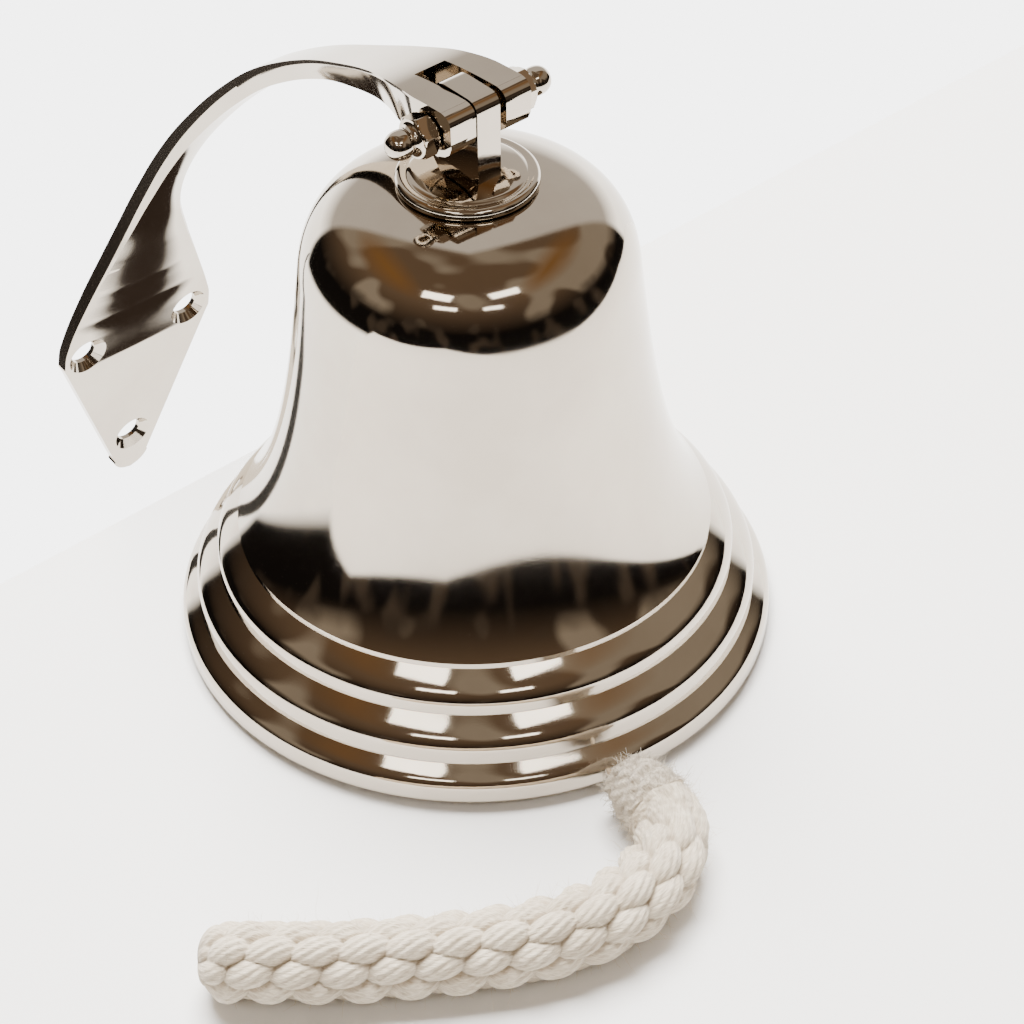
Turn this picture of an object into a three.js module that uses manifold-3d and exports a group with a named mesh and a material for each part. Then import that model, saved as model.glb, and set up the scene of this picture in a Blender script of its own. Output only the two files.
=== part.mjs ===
// A ship bell on its gooseneck wall bracket, with the clapper and the plaited lanyard.
// Millimetres. +Z runs up the bell's axis, +X along the pivot stud and +Y from the bell to the wall plate.
// The pieces are drawn about the centre of the mouth, and the whole is then moved so that the origin
// is the middle of the wall plate's back face, where the bell is fastened up.
import * as THREE from 'three';
import { mergeVertices } from 'three/addons/utils/BufferGeometryUtils.js';
import Module from 'manifold-3d';

const wasm = await Module();
wasm.setup();

// Driving dimensions
const gap = 0.3; // left between pieces that touch
const mouthRadius = 63.5;
const crownHeight = 108.2; // flat seat for the hanger
const wall = 2.6; // thickness of the bell at its waist
const lipWidth = 7; // flat ring that the bell stands on
const creases = [[50.15, 25.1], [55.05, 16.9], [59.9, 8], [mouthRadius, 1]]; // each ring's foot: radius, height
const drops = [1.2, 2.2, 3.2, 3]; // upright part at the foot of each ring

const discRadius = 14.3;
const tongueWidth = 5.7;
const tongueTop = 130;
const pivotHeight = 123.7;
const studRadius = 2.5; // M5
const studReach = 13.4; // from the middle to either end
const nutFlats = 8;
const nutHeight = 3.5;
const domeRadius = 2.9;

const forkHalf = 10.1; // half of the fork's width
const slotHalf = 3.8;
const slotEnd = 11.6;
const sidePlay = 0.6; // the bracket sits to one side of its play on the tongue
const plateLean = THREE.MathUtils.degToRad(12.5); // the plate's foot leans away from the bell
const plateThickness = 2.9;
const plateBack = 130.4; // back face at the height of the mouth
const originHeight = -18; // the plate's middle, below the mouth
const screwSpacing = 30;
const upperScrews = -0.3; // height of the upper two screws
const lowerScrew = -36.8;
const screwRadius = 3.25;
const sinkRadius = 4.9;

const eyeWire = 1.3;
const eyeRadius = 4.2;
const linkWire = 1.1;
const linkRadius = 4.5;
const eyeHeight = 92.5; // middle of the eyebolt's eye
const ballHeight = 24;
const ballRadius = 9.5;
const rodRadius = 2;

const lead = 0.6; // radius of the thin lead cord
const rope = 8; // radius of the plaited lanyard
const lift = 1.6; // the lead cord under the lip holds one side of the mouth up by this
const leadWay = new THREE.Vector2(-0.25, -0.968); // direction in which the lead leaves the bell

// Materials
const nickel = new THREE.MeshStandardMaterial({ color: 0xcfc8bf, roughness: 0.12, metalness: 1 });
const brass = new THREE.MeshStandardMaterial({ color: 0xb08d4a, roughness: 0.35, metalness: 1 });
const cotton = new THREE.MeshStandardMaterial({ color: 0xe2dccb, roughness: 0.95, metalness: 0 });
const twine = new THREE.MeshStandardMaterial({ color: 0xb9b1a0, roughness: 1, metalness: 0 });

// Solids
function closed(geometry) {
  for (const name of ['normal', 'uv']) geometry.deleteAttribute(name);
  return mergeVertices(geometry, 1e-4);
}

function toManifold(geometry) {
  const shape = closed(geometry);
  const vertProperties = new Float32Array(shape.attributes.position.array);
  const triVerts = new Uint32Array(shape.index.array);
  return new wasm.Manifold(new wasm.Mesh({ numProp: 3, vertProperties, triVerts }));
}

function fromManifold(manifold) {
  const mesh = manifold.getMesh();
  const geometry = new THREE.BufferGeometry();
  geometry.setAttribute('position', new THREE.BufferAttribute(new Float32Array(mesh.vertProperties), 3));
  geometry.setIndex(new THREE.BufferAttribute(new Uint32Array(mesh.triVerts), 1));
  return geometry;
}

const join = (...pieces) => fromManifold(pieces.map(toManifold).reduce((all, next) => all.add(next)));
const cut = (piece, ...tools) => fromManifold(
  tools.map(toManifold).reduce((left, tool) => left.subtract(tool), toManifold(piece)));
const common = (a, b) => fromManifold(toManifold(a).intersect(toManifold(b)));

function curve(corners, steps) {
  const points = corners.map(([x, y]) => new THREE.Vector2(x, y));
  return new THREE.CubicBezierCurve(...points).getPoints(steps).map((p) => [p.x, p.y]);
}

const spline = (corners, steps) => new THREE.SplineCurve(
  corners.map(([x, y]) => new THREE.Vector2(x, y))).getPoints(steps).map((p) => [p.x, p.y]);

// A body of revolution about +Z; the outline runs from top to bottom on the outside
function turned(outline, segments) {
  const points = outline.map(([radius, height]) => new THREE.Vector2(radius, height)).reverse();
  return new THREE.LatheGeometry(points, segments).rotateX(Math.PI / 2);
}

function rod(radius, from, to, sides = 24) {
  const geometry = new THREE.CylinderGeometry(radius, radius, from.distanceTo(to), sides);
  const way = to.clone().sub(from).normalize();
  geometry.applyQuaternion(new THREE.Quaternion().setFromUnitVectors(new THREE.Vector3(0, 1, 0), way));
  return geometry.translate(...from.clone().add(to).multiplyScalar(0.5));
}

const upright = (radius, low, high, sides) => rod(
  radius, new THREE.Vector3(0, 0, low), new THREE.Vector3(0, 0, high), sides);
const crosswise = (radius, left, right, y, z, sides) => rod(
  radius, new THREE.Vector3(left, y, z), new THREE.Vector3(right, y, z), sides);

// An outline drawn in Y and Z, carried across X
function acrossX(outline, width, middle = 0) {
  const shape = new THREE.Shape(outline.map(([y, z]) => new THREE.Vector2(y, z)));
  const geometry = new THREE.ExtrudeGeometry(shape, { depth: width, bevelEnabled: false });
  geometry.translate(0, 0, middle - width / 2);
  const yzx = new THREE.Matrix4().makeBasis(
    new THREE.Vector3(0, 1, 0), new THREE.Vector3(0, 0, 1), new THREE.Vector3(1, 0, 0));
  return geometry.applyMatrix4(yzx);
}

function ring(radius, wire, height, alongX) {
  const geometry = new THREE.TorusGeometry(radius, wire, 8, 20);
  geometry.rotateX(alongX ? 0 : Math.PI / 2);
  geometry.rotateY(alongX ? Math.PI / 2 : 0);
  return geometry.translate(0, 0, height);
}

// Bell
function bellBody() {
  const outside = [
    [2.6, crownHeight], [14.2, crownHeight],
    ...curve([[14.2, crownHeight], [27.6, 106.1], [33.1, 99.8], [34.3, 89.4]], 7).slice(1),
    ...curve([[34.3, 89.4], [36.8, 66.8], [39.7, 40.1], [creases[0][0], creases[0][1] + drops[0]]], 9).slice(1),
  ];
  for (let i = 0; i < creases.length; i += 1) {
    outside.push(creases[i]);
    if (i + 1 === creases.length) break;
    const [r0, z0] = creases[i];
    const [r1, z1] = [creases[i + 1][0], creases[i + 1][1] + drops[i + 1]];
    const swell = [r0 + (r1 - r0) * 0.55, z0 - (z0 - z1) * 0.4];
    outside.push(...curve([[r0, z0], swell, [r1, z1 + 1.4], [r1, z1]], 4).slice(1));
  }
  const inside = [
    [mouthRadius - 1, 0], [mouthRadius - lipWidth, 0],
    ...curve([[mouthRadius - lipWidth, 0], [54.5, 8], [50, 17], [46.4, 24]], 4).slice(1),
    ...curve([[46.4, 24], [36.9, 42], [34.2, 66.8], [34.3 - wall, 89.4]], 7).slice(1),
    ...curve([[34.3 - wall, 89.4], [30.6, 98.3], [25.6, 103.5], [13, crownHeight - 3]], 5).slice(1),
    [2.6, crownHeight - 3], [2.6, crownHeight],
  ];
  return turned([...outside, ...inside], 48);
}

// Hanger: a round foot on the crown with the upright tongue that fits in the fork
function hanger() {
  const low = crownHeight + gap;
  const disc = turned([
    [0, 112.7], [5, 112.3], [9, 111.5], [12.2, 110.6], [13.7, 110.2], [discRadius, 109.5],
    [discRadius, low + 0.3], [discRadius - 0.3, low], [0, low],
  ], 36);
  const front = -6.7;
  const back = 6.9;
  const tongue = acrossX([
    [front, 110.5], [back, 110.5], [back, tongueTop - 4.5],
    ...curve([
      [back, tongueTop - 4.5], [back, tongueTop - 1.8], [back - 1.6, tongueTop], [back - 4.4, tongueTop],
    ], 5).slice(1),
    [front + 0.5, tongueTop], [front, tongueTop - 0.5],
  ], tongueWidth);
  const socket = upright(studRadius, low - 1, 111.8);
  return cut(join(disc, tongue), crosswise(studRadius + gap, -9, 9, 0, pivotHeight), socket);
}

// Bracket: the side view carried across, trimmed to its width from above and from the front
function wallBracket() {
  const slope = Math.tan(plateLean);
  const faceGap = plateThickness / Math.cos(plateLean);
  const back = (z) => plateBack - slope * z;
  const foot = -48.5;
  const side = [
    [-6.2, 129.9], ...spline([[-5, 129.9], [8, 128.9], [23, 125.2], [42.3, 117.6], [57, 109.9], [77.4, 94.5],
      [100.6, 69.8], [116.9, 44.4], [back(24), 24], [back(10), 10]], 28),
    [back(foot), foot], [back(foot) - faceGap, foot],
    ...spline([[back(8) - faceGap, 8], [119.9, 23], [111.5, 45], [101.5, 60], [88.5, 76.3], [70, 93.8],
      [50.7, 107.3], [36.6, 114], [21, 117.6], [8, 119], [-2.5, 119.2]], 28),
    [-5.2, 120.2], [-6.7, 122.4], [-6.7, 129.4],
  ];
  const fromAbove = spline([
    [-8, forkHalf], [2, forkHalf], [12, 8.7], [23, 6.6], [35, 4.9], [50, 4], [65, 3.85], [85, 3.85],
  ], 20);
  const neck = 88; // height at which the two width outlines meet
  const fromFront = [
    [3.85, neck],
    ...spline([[3.85, 83], [4, 71], [4.8, 57], [6.9, 44.4], [11.4, 31], [16.2, 18], [20.4, 6.5]], 16),
    [21.4, 2.6], [21.2, -1], [19.8, -5], [7, -38], [5.2, -44.4], [3, -47.4], [1.2, -48.2],
  ];
  const mirrored = (outline) => [...outline, ...outline.map(([a, b]) => [a, b]).reverse()];
  const plan = new THREE.Shape(mirrored(fromAbove).map(([y, x], i) => (
    new THREE.Vector2(i < fromAbove.length ? x : -x, y))).reverse());
  const face = new THREE.Shape(mirrored(fromFront).map(([x, z], i) => (
    new THREE.Vector2(i < fromFront.length ? x : -x, z))).reverse());
  const upper = new THREE.ExtrudeGeometry(plan, { depth: 60, bevelEnabled: false }).translate(0, 0, neck - 0.5);
  const lower = new THREE.ExtrudeGeometry(face, { depth: 160, bevelEnabled: false });
  lower.rotateX(Math.PI / 2).translate(0, 160, 0);
  const tools = [
    new THREE.BoxGeometry(2 * slotHalf, slotEnd + 20, 30).translate(0, (slotEnd - 20) / 2, 125),
    crosswise(studRadius + gap, -15, 15, 0, pivotHeight),
  ];
  for (const [x, z] of [[-screwSpacing / 2, upperScrews], [screwSpacing / 2, upperScrews], [0, lowerScrew]]) {
    const out = new THREE.Vector3(0, -Math.cos(plateLean), -Math.sin(plateLean));
    const face0 = new THREE.Vector3(x, back(z) - faceGap, z);
    tools.push(rod(screwRadius, face0.clone().addScaledVector(out, -9), face0.clone().addScaledVector(out, 9)));
    const sink = new THREE.CylinderGeometry(sinkRadius + 1, screwRadius - 0.9, 3.8, 24).translate(0, -0.9, 0);
    sink.applyQuaternion(new THREE.Quaternion().setFromUnitVectors(new THREE.Vector3(0, 1, 0), out));
    tools.push(sink.translate(face0.x, face0.y, face0.z));
  }
  return cut(common(acrossX(side, 60), join(upper, lower)), ...tools).translate(sidePlay, 0, 0);
}

// Cap nut: a hexagon and a dome, with a blind hole for the stud
function capNut(way) {
  const seat = forkHalf + gap;
  const corners = nutFlats / Math.sqrt(3);
  const hex = new THREE.CylinderGeometry(corners, corners, nutHeight, 6).translate(0, seat + nutHeight / 2, 0);
  const dome = turned([
    ...curve([[0, 18.9], [2.2, 18.9], [domeRadius, 17.6], [domeRadius, 15.8]], 6),
    [domeRadius, 14.4], [domeRadius + 0.5, 13.6], [domeRadius + 0.5, 12], [0, 12],
  ], 24).rotateX(-Math.PI / 2);
  const bore = new THREE.CylinderGeometry(studRadius + gap, studRadius + gap, 5, 24)
    .translate(0, studReach + gap - 2.5, 0);
  const nut = cut(join(hex, dome), bore).rotateY(0.2).rotateZ(-Math.PI / 2);
  if (way < 0) nut.rotateZ(Math.PI);
  return nut.translate(sidePlay, 0, pivotHeight);
}

const pivotStud = () => crosswise(studRadius, -studReach, studReach, 0, pivotHeight).translate(sidePlay, 0, 0);

// Inside the bell: eyebolt, washer and nut, then the link, clapper and ring
function eyebolt() {
  return join(ring(eyeRadius, eyeWire, eyeHeight, false), upright(2.2, eyeHeight + eyeRadius - 0.6, 111.4));
}

const crownWasher = () => turned([[8, 104.9], [8, 103.7], [2.5, 103.7], [2.5, 104.9], [8, 104.9]], 32);

function crownNut() {
  const hex = new THREE.CylinderGeometry(nutFlats / Math.sqrt(3), nutFlats / Math.sqrt(3), 4, 6);
  return cut(hex.rotateX(Math.PI / 2).translate(0, 0, 101.4), upright(2.5, 98, 105));
}

const linkHeight = eyeHeight - eyeRadius + eyeWire + gap + linkWire - linkRadius;
const rodEyeHeight = linkHeight - linkRadius + linkWire + gap + eyeWire - eyeRadius;
const clapperLink = () => ring(linkRadius, linkWire, linkHeight, true);

const tailHeight = 11.4;
const tailRadius = 2.5;
const tailWire = 0.9;

function clapperRod() {
  return join(
    ring(eyeRadius, eyeWire, rodEyeHeight, false),
    upright(rodRadius, tailHeight + tailRadius - 0.4, rodEyeHeight - eyeRadius + 0.6),
    ring(tailRadius, tailWire, tailHeight, false),
  );
}

function clapperBall() {
  const bore = rodRadius + gap;
  const flat = Math.sqrt(ballRadius ** 2 - bore ** 2);
  const outline = [];
  for (let i = 0; i <= 10; i += 1) {
    const angle = Math.acos(flat / ballRadius) + (i / 10) * (Math.PI - 2 * Math.acos(flat / ballRadius));
    outline.push([ballRadius * Math.sin(angle), ballHeight + ballRadius * Math.cos(angle)]);
  }
  return turned([...outline, outline[0]], 24);
}

const ringRadius = 3.2;
const ringWire = 0.7;
const ringHeight = tailHeight - tailRadius + tailWire + gap + ringWire - ringRadius;
const lanyardRing = () => ring(ringRadius, ringWire, ringHeight, true);

// Height of the surface under the lanyard
function rest(x, y) {
  return -lift * (0.5 + (x * leadWay.x + y * leadWay.y) / (2 * mouthRadius));
}

function tube(route, radius, sides, steps) {
  const section = new THREE.Shape(Array.from({ length: sides }, (_, i) => new THREE.Vector2(
    radius * Math.cos((2 * Math.PI * i) / sides), radius * Math.sin((2 * Math.PI * i) / sides))));
  const extrudePath = new THREE.CatmullRomCurve3(route);
  return new THREE.ExtrudeGeometry(section, { steps, bevelEnabled: false, extrudePath });
}

const onTable = ([x, y], radius) => new THREE.Vector3(x, y, rest(x, y) + radius);

// The lead cord hangs through the ring, drops to the table and runs out under the lip
const leadStart = ringHeight - ringRadius + ringWire + lead + gap;
const leadRoute = [
  new THREE.Vector3(-2.4, 0, leadStart), new THREE.Vector3(0, 0, leadStart),
  new THREE.Vector3(2.2, -0.2, leadStart - 0.5),
  new THREE.Vector3(3.9, -1.2, leadStart - 2.4), new THREE.Vector3(4.4, -3.6, leadStart - 4.8),
  ...[[3.6, -9], [0.5, -20], [-4.5, -32], [-9.5, -44], [-13.6, -55], [-15.4, -61.4]].map((p) => onTable(p, lead)),
  onTable([-16, -64.4], 1.6), onTable([-16.7, -66.4], 3.4),
];
const leadCord = () => tube(leadRoute, lead, 8, 44);
const leadKnot = () => new THREE.SphereGeometry(1.4, 12, 8).translate(-4.2, 0, leadStart);

const whipFrom = [-17.2, -66.8];
const whipTo = [-18, -76];

function lanyardWhipping() {
  const from = onTable(whipFrom, rope);
  const to = onTable(whipTo, rope);
  const long = from.distanceTo(to);
  const geometry = turned([[0, long], [7.8, long], [7.7, long * 0.6], [7, long * 0.25], [5.6, 0], [0, 0]], 16);
  const way = to.clone().sub(from).normalize();
  geometry.applyQuaternion(new THREE.Quaternion().setFromUnitVectors(new THREE.Vector3(0, 0, 1), way));
  return geometry.translate(...from);
}

const ropeRoute = [
  [-18.2, -77.3], [-18.9, -80.6], [-23.2, -86.4], [-31, -90.6], [-44, -92], [-56.7, -88.8], [-69, -82.2],
  [-81, -74.2], [-92, -66], [-101, -58.2], [-106.6, -53.4],
].map((p) => onTable(p, rope));
const lanyard = () => tube(ropeRoute, rope, 12, 20);

function lanyardEndKnot() {
  const last = ropeRoute[ropeRoute.length - 1];
  const way = last.clone().sub(ropeRoute[ropeRoute.length - 2]).normalize();
  const dome = curve([[0, 5.4], [4.5, 5.4], [7.6, 3], [rope, 0]], 5);
  const geometry = turned([...dome, [0, 0]], 16);
  geometry.applyQuaternion(new THREE.Quaternion().setFromUnitVectors(new THREE.Vector3(0, 0, 1), way));
  return geometry.translate(...last.clone().addScaledVector(way, 2 * gap));
}

const pieces = {
  bell_body: [bellBody, nickel],
  hanger: [hanger, nickel],
  wall_bracket: [wallBracket, nickel],
  pivot_stud: [pivotStud, nickel],
  cap_nut_left: [() => capNut(-1), nickel],
  cap_nut_right: [() => capNut(1), nickel],
  eyebolt: [eyebolt, brass],
  crown_washer: [crownWasher, brass],
  crown_nut: [crownNut, brass],
  clapper_link: [clapperLink, brass],
  clapper_rod: [clapperRod, brass],
  clapper_ball: [clapperBall, brass],
  lanyard_ring: [lanyardRing, brass],
  lead_cord: [leadCord, cotton],
  lead_knot: [leadKnot, cotton],
  lanyard_whipping: [lanyardWhipping, twine],
  lanyard: [lanyard, cotton],
  lanyard_end_knot: [lanyardEndKnot, cotton],
};

const bell = new THREE.Group();
bell.position.set(0, -(plateBack - Math.tan(plateLean) * originHeight), -originHeight);
for (const [name, [make, material]] of Object.entries(pieces)) {
  const mesh = new THREE.Mesh(closed(make()), material);
  mesh.name = name;
  bell.add(mesh);
}

const assembly = new THREE.Group();
assembly.add(bell);
export default assembly;
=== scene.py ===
import math

import bmesh
import bpy
import numpy as np
from mathutils import Matrix, Vector


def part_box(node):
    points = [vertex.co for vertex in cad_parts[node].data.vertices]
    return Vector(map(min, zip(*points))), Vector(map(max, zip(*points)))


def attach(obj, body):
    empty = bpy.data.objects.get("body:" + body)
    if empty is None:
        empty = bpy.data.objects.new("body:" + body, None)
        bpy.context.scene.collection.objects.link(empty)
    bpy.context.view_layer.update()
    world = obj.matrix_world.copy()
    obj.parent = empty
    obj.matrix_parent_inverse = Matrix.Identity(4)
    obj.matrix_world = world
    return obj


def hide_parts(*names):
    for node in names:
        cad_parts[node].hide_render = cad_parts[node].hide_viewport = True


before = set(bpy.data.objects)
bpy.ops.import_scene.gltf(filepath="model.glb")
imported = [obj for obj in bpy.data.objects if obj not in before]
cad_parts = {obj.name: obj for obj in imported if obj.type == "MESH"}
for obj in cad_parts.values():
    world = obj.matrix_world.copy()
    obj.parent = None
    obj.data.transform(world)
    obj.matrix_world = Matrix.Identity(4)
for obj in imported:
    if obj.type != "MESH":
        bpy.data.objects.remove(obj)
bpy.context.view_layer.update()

# Everything is drawn in millimetres about the middle of the bell's mouth, +Z up the bell's axis,
# +Y towards the wall plate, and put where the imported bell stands.
bellLow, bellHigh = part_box("bell_body")
mouthCentre = np.array([(bellLow[0] + bellHigh[0]) / 2, (bellLow[1] + bellHigh[1]) / 2, bellLow[2]])


def place(points):
    return mouthCentre + np.asarray(points, float) * 0.001


# Camera
camera = {
    "at": (-310.52, -375.61, 436.89),
    "right": (0.75579, -0.65477, -0.00798),
    "up": (0.42816, 0.48493, 0.76258),
    "lens": 105.47,
}


def makeCamera(c):
    data = bpy.data.cameras.new("camera")
    data.lens, data.sensor_width = c["lens"], 36
    data.clip_start, data.clip_end = 0.01, 20
    piece = bpy.data.objects.new("camera", data)
    right, up = Vector(c["right"]).normalized(), Vector(c["up"]).normalized()
    turn = Matrix((right, up, right.cross(up))).transposed()
    piece.matrix_world = Matrix.Translation(Vector(place(c["at"]))) @ turn.to_4x4()
    bpy.context.collection.objects.link(piece)
    bpy.context.scene.camera = piece


makeCamera(camera)


# Mesh helpers
def gridFaces(rows, columns, wrapRows=False, wrapColumns=False):
    # corner numbers of the quads of a rows x columns grid, as one array
    i = np.arange(rows if wrapRows else rows - 1)[:, None]
    j = np.arange(columns if wrapColumns else columns - 1)[None, :]
    iNext, jNext = (i + 1) % rows, (j + 1) % columns
    quads = np.stack([i * columns + j + 0 * jNext, i * columns + jNext, iNext * columns + jNext,
                      iNext * columns + j + 0 * jNext], axis=-1)
    return quads.reshape(-1, 4)


def makePiece(name, grids, material, sharp=30, threads=None):
    # grids: a list of (points in mm with shape rows x columns x 3, wrapRows, wrapColumns)
    points, faces, start = [], [], 0
    for grid, wrapRows, wrapColumns in grids:
        rows, columns = grid.shape[:2]
        points.append(grid.reshape(-1, 3))
        faces.append(gridFaces(rows, columns, wrapRows, wrapColumns) + start)
        start += rows * columns
    mesh = bpy.data.meshes.new(name)
    mesh.from_pydata(place(np.concatenate(points)).tolist(), [], np.concatenate(faces).tolist())
    if threads is not None:
        mesh.attributes.new("threads", "FLOAT_VECTOR", "POINT").data.foreach_set("vector", threads.ravel())
    weldMesh(mesh)
    return showPiece(name, mesh, material, sharp)


def weldMesh(mesh):
    # closes the seams and poles, and turns all faces outwards
    work = bmesh.new()
    work.from_mesh(mesh)
    bmesh.ops.remove_doubles(work, verts=work.verts, dist=2e-7)
    bmesh.ops.dissolve_degenerate(work, edges=work.edges, dist=1e-8)
    bmesh.ops.recalc_face_normals(work, faces=work.faces)
    work.to_mesh(mesh)
    work.free()


def shadeSmooth(mesh, sharp):
    mesh.polygons.foreach_set("use_smooth", np.ones(len(mesh.polygons), bool))
    mesh.set_sharp_from_angle(angle=math.radians(sharp))


def showPiece(name, mesh, material, sharp=30):
    shadeSmooth(mesh, sharp)
    mesh.materials.clear()
    mesh.materials.append(material)
    piece = bpy.data.objects.new(name, mesh)
    bpy.context.collection.objects.link(piece)
    return piece


def settle(piece, sharp=30, keepNormals=False):
    # bakes the piece's modifiers into its own mesh
    graph = bpy.context.evaluated_depsgraph_get()
    mesh = bpy.data.meshes.new_from_object(piece.evaluated_get(graph))
    piece.modifiers.clear()
    piece.data = mesh
    if not keepNormals:
        shadeSmooth(mesh, sharp)


def trim(piece, tools, how="DIFFERENCE", sharp=30):
    for tool in tools:
        change = piece.modifiers.new("trim", "BOOLEAN")
        change.object, change.operation, change.solver = tool, how, "EXACT"
    settle(piece, sharp)
    for tool in tools:
        bpy.data.objects.remove(tool)


def softenEdges(piece, width, segments=2, sharp=30):
    soften = piece.modifiers.new("soften", "BEVEL")
    soften.width, soften.segments, soften.limit_method = width * 0.001, segments, "ANGLE"
    soften.angle_limit = math.radians(sharp)
    even = piece.modifiers.new("even", "WEIGHTED_NORMAL")
    even.mode, even.weight, even.keep_sharp = "FACE_AREA", 50, True
    settle(piece, keepNormals=True)


def bezier(a, b, c, d, steps):
    # cubic curve from a to d, pulled towards b and c
    t = np.linspace(0, 1, steps)[:, None]
    a, b, c, d = (np.array(p, float) for p in (a, b, c, d))
    return (1 - t) ** 3 * a + 3 * (1 - t) ** 2 * t * b + 3 * (1 - t) * t ** 2 * c + t ** 3 * d


def steady(xs, ys, at):
    # smooth curve through the points that never overshoots: cubic pieces with limited slopes
    xs, ys = np.asarray(xs, float), np.asarray(ys, float)
    step, slope = np.diff(xs), np.diff(ys) / np.diff(xs)
    product = slope[:-1] * slope[1:]
    inner = np.where(product > 0, 2 * product / (slope[:-1] + slope[1:] + 1e-12), 0)
    tangent = np.concatenate([[slope[0]], inner, [slope[-1]]])
    k = np.clip(np.searchsorted(xs, at) - 1, 0, len(step) - 1)
    t = (at - xs[k]) / step[k]
    return (ys[k] * (1 + 2 * t) * (1 - t) ** 2 + ys[k + 1] * t * t * (3 - 2 * t)
            + step[k] * (tangent[k] * t * (1 - t) ** 2 + tangent[k + 1] * t * t * (t - 1)))


def alongCurve(points, steps):
    # points evenly spaced by length on the smooth curve through the given ones
    points = np.asarray(points, float)
    knots = np.concatenate([[0], np.cumsum(np.linalg.norm(np.diff(points, axis=0), axis=1))])
    tangent = np.gradient(points, knots, axis=0)
    at = np.linspace(0, knots[-1], 2000)
    k = np.clip(np.searchsorted(knots, at) - 1, 0, len(knots) - 2)
    h = (knots[k + 1] - knots[k])[:, None]
    t = (at - knots[k])[:, None] / h
    fine = (points[k] * (1 + 2 * t) * (1 - t) ** 2 + points[k + 1] * t * t * (3 - 2 * t)
            + h * (tangent[k] * t * (1 - t) ** 2 + tangent[k + 1] * t * t * (t - 1)))
    length = np.concatenate([[0], np.cumsum(np.linalg.norm(np.diff(fine, axis=0), axis=1))])
    even = np.linspace(0, length[-1], steps)
    return np.stack([np.interp(even, length, fine[:, n]) for n in range(3)], axis=1), length[-1]


def turned(profile, segments):
    # profile (radius, height) swept round the Z axis: x = r cos a, y = r sin a
    profile = np.asarray(profile, float)
    a = np.linspace(0, 2 * np.pi, segments, endpoint=False)
    r, z = profile[:, :1], profile[:, 1:]
    return np.stack([r * np.cos(a), r * np.sin(a), z + 0 * a], axis=-1), False, True


def ringTube(radius, wire, height, alongX, turns=64, sides=20):
    # torus: the wire's circle carried round a circle in the XZ plane, or in YZ with alongX
    a, b = np.meshgrid(np.linspace(0, 2 * np.pi, turns, endpoint=False),
                       np.linspace(0, 2 * np.pi, sides, endpoint=False), indexing="ij")
    out = radius + wire * np.cos(b)
    across, up, side = out * np.cos(a), height + out * np.sin(a), wire * np.sin(b)
    return (np.stack([side, across, up] if alongX else [across, side, up], axis=-1), True, True)


# Shared shader groups
def newGroup(name, inputs, outputs):
    group = bpy.data.node_groups.new(name, "ShaderNodeTree")
    for label, kind, value in inputs:
        socket = group.interface.new_socket(name=label, in_out="INPUT", socket_type=kind)
        socket.default_value = value
    for label, kind in outputs:
        group.interface.new_socket(name=label, in_out="OUTPUT", socket_type=kind)
    return group, group.nodes.new("NodeGroupInput"), group.nodes.new("NodeGroupOutput")


def mathNode(tree, kind, a, b=0.0):
    node = tree.nodes.new("ShaderNodeMath")
    node.operation = kind
    for socket, value in zip(node.inputs, (a, b)):
        if isinstance(value, (int, float)):
            socket.default_value = value
        else:
            tree.links.new(value, socket)
    return node.outputs[0]


def noiseNode(tree, vector, scale, detail, rough):
    node = tree.nodes.new("ShaderNodeTexNoise")
    tree.links.new(vector, node.inputs["Vector"])
    for label, value in (("Scale", scale), ("Detail", detail), ("Roughness", rough)):
        node.inputs[label].default_value = value
    return node.outputs["Fac"]


def spread(tree, value, low, high, toLow=0.0, toHigh=1.0):
    node = tree.nodes.new("ShaderNodeMapRange")
    tree.links.new(value, node.inputs["Value"])
    for label, number in zip(("From Min", "From Max", "To Min", "To Max"), (low, high, toLow, toHigh)):
        if isinstance(number, (int, float)):
            node.inputs[label].default_value = number
        else:
            tree.links.new(number, node.inputs[label])
    return node.outputs["Result"]


def mixColour(tree, factor, a, b):
    node = tree.nodes.new("ShaderNodeMix")
    node.data_type = "RGBA"
    for socket, value in ((node.inputs["Factor"], factor), (node.inputs[6], a), (node.inputs[7], b)):
        if isinstance(value, tuple):
            socket.default_value = (*value, 1)
        else:
            tree.links.new(value, socket)
    return node.outputs[2]


def polishGroup():
    # hand polish: fine scratches and faint smears change the gloss, and the metal is never quite even
    group, start, end = newGroup(
        "polish", [("Vector", "NodeSocketVector", (0, 0, 0)), ("Gloss Low", "NodeSocketFloat", 0.04),
                   ("Gloss High", "NodeSocketFloat", 0.12),
                   ("Tint A", "NodeSocketColor", (0.7, 0.66, 0.6, 1)),
                   ("Tint B", "NodeSocketColor", (0.6, 0.56, 0.5, 1))],
        [("Color", "NodeSocketColor"), ("Roughness", "NodeSocketFloat"), ("Height", "NodeSocketFloat")])
    vector = start.outputs["Vector"]
    smear = noiseNode(group, vector, 38, 4, 0.6)
    grain = noiseNode(group, vector, 2600, 2, 0.6)
    mapping = group.nodes.new("ShaderNodeMapping")
    group.links.new(vector, mapping.inputs["Vector"])
    mapping.inputs["Scale"].default_value = (1, 1, 14)
    brush = noiseNode(group, mapping.outputs[0], 420, 3, 0.7)
    blend = mathNode(group, "ADD", mathNode(group, "MULTIPLY", smear, 0.6),
                     mathNode(group, "MULTIPLY", brush, 0.4))
    rough = spread(group, blend, 0.35, 0.7, start.outputs["Gloss Low"], start.outputs["Gloss High"])
    colour = mixColour(group, spread(group, smear, 0.35, 0.65), start.outputs["Tint A"],
                       start.outputs["Tint B"])
    height = mathNode(group, "ADD", mathNode(group, "MULTIPLY", grain, 0.5),
                      mathNode(group, "MULTIPLY", brush, 0.5))
    group.links.new(colour, end.inputs["Color"])
    group.links.new(rough, end.inputs["Roughness"])
    group.links.new(height, end.inputs["Height"])
    return group


polish = polishGroup()


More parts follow.
